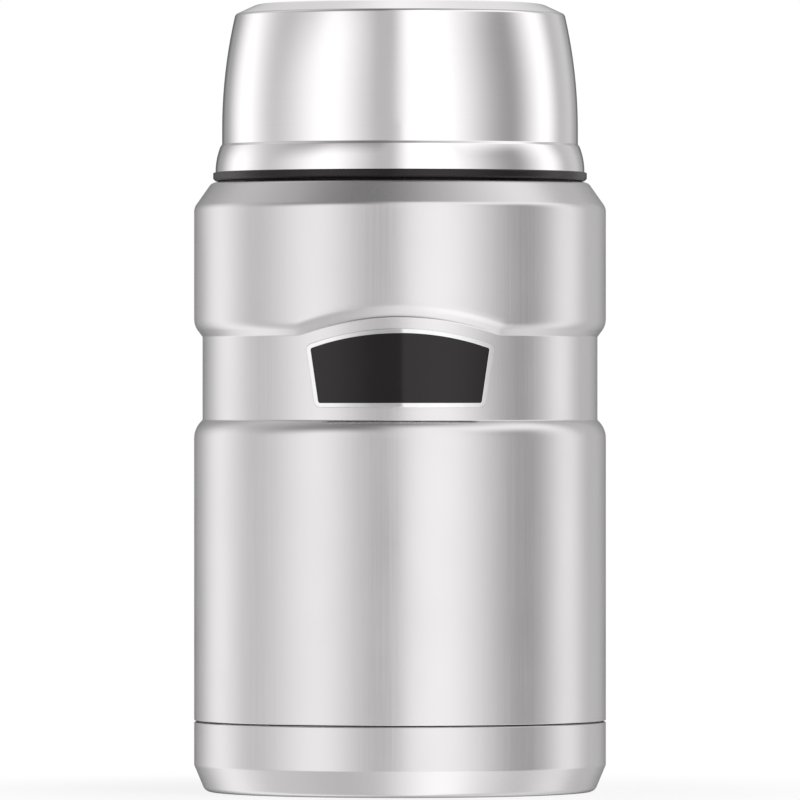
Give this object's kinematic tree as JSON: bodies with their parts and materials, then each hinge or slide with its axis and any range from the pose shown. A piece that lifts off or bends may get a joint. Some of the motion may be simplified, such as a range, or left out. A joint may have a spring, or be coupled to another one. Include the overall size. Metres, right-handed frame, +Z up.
{
  "type": "insulated food jar",
  "caption": "Steel vacuum food jar with a pressed waist band, a bare badge, a screw-in stopper and a steel bowl that screws on as the lid.",
  "frame": {"origin": "centre of the foot ring, in the plane that the jar stands on", "axes": "+Z up along the jar's axis; -Y is the front, where the badge is; +X to the right seen from the front"},
  "size_m": [0.103, 0.103, 0.1968],
  "materials": {
    "jar_steel": "satin",
    "vessel_steel": "electropolished",
    "bowl_steel": "fine satin",
    "badge_chrome": "polished",
    "badge_black": "satin",
    "stopper_black": "fine matte",
    "ring_black": "matte",
    "seal_grey": "matte",
    "foam": "open cell",
    "foil": "bright",
    "getter_grey": "sintered",
    "braze": "as brazed",
    "adhesive": "cured"
  },
  "bodies": {
    "jar": {"outer_shell": "jar_steel", "outer_neck": "vessel_steel", "base_cup": "jar_steel", "base_adhesive": "adhesive", "inner_vessel": "vessel_steel", "bottom_closure": "vessel_steel", "vacuum_seal": "braze", "getter": "getter_grey", "radiation_foil": "foil", "badge_pad": "adhesive", "badge_plate": "badge_chrome", "badge_inlay": "badge_black"},
    "seal": {"stopper_seal": "seal_grey"},
    "stopper": {"stopper_body": "stopper_black", "stopper_insulation": "foam", "stopper_cap": "stopper_black"},
    "soft_ring": {"rim_ring": "ring_black"},
    "bowl": {"bowl_outer": "bowl_steel", "bowl_inner": "bowl_steel", "bowl_collar": "stopper_black"}
  },
  "joints": [
    {"name": "stopper_rise", "type": "slide", "parent": "jar", "child": "seal", "axis": [0, 0, 1], "range_m": [0, 0.024]},
    {"name": "stopper_turn", "type": "hinge", "parent": "seal", "child": "stopper", "pos_m": [0, 0, 0.157], "axis": [0, 0, 1], "range_deg": [0, 720]},
    {"name": "bowl_rise", "type": "slide", "parent": "stopper", "child": "soft_ring", "axis": [0, 0, 1], "range_m": [0, 0.024]},
    {"name": "bowl_turn", "type": "hinge", "parent": "soft_ring", "child": "bowl", "pos_m": [0, 0, 0.157], "axis": [0, 0, 1], "range_deg": [0, 720]}
  ],
  "couplings": [
    {"joint": "stopper_rise", "follows": "stopper_turn", "m_per_rad": 0.0019099},
    {"joint": "bowl_rise", "follows": "bowl_turn", "m_per_rad": 0.0019099}
  ]
}
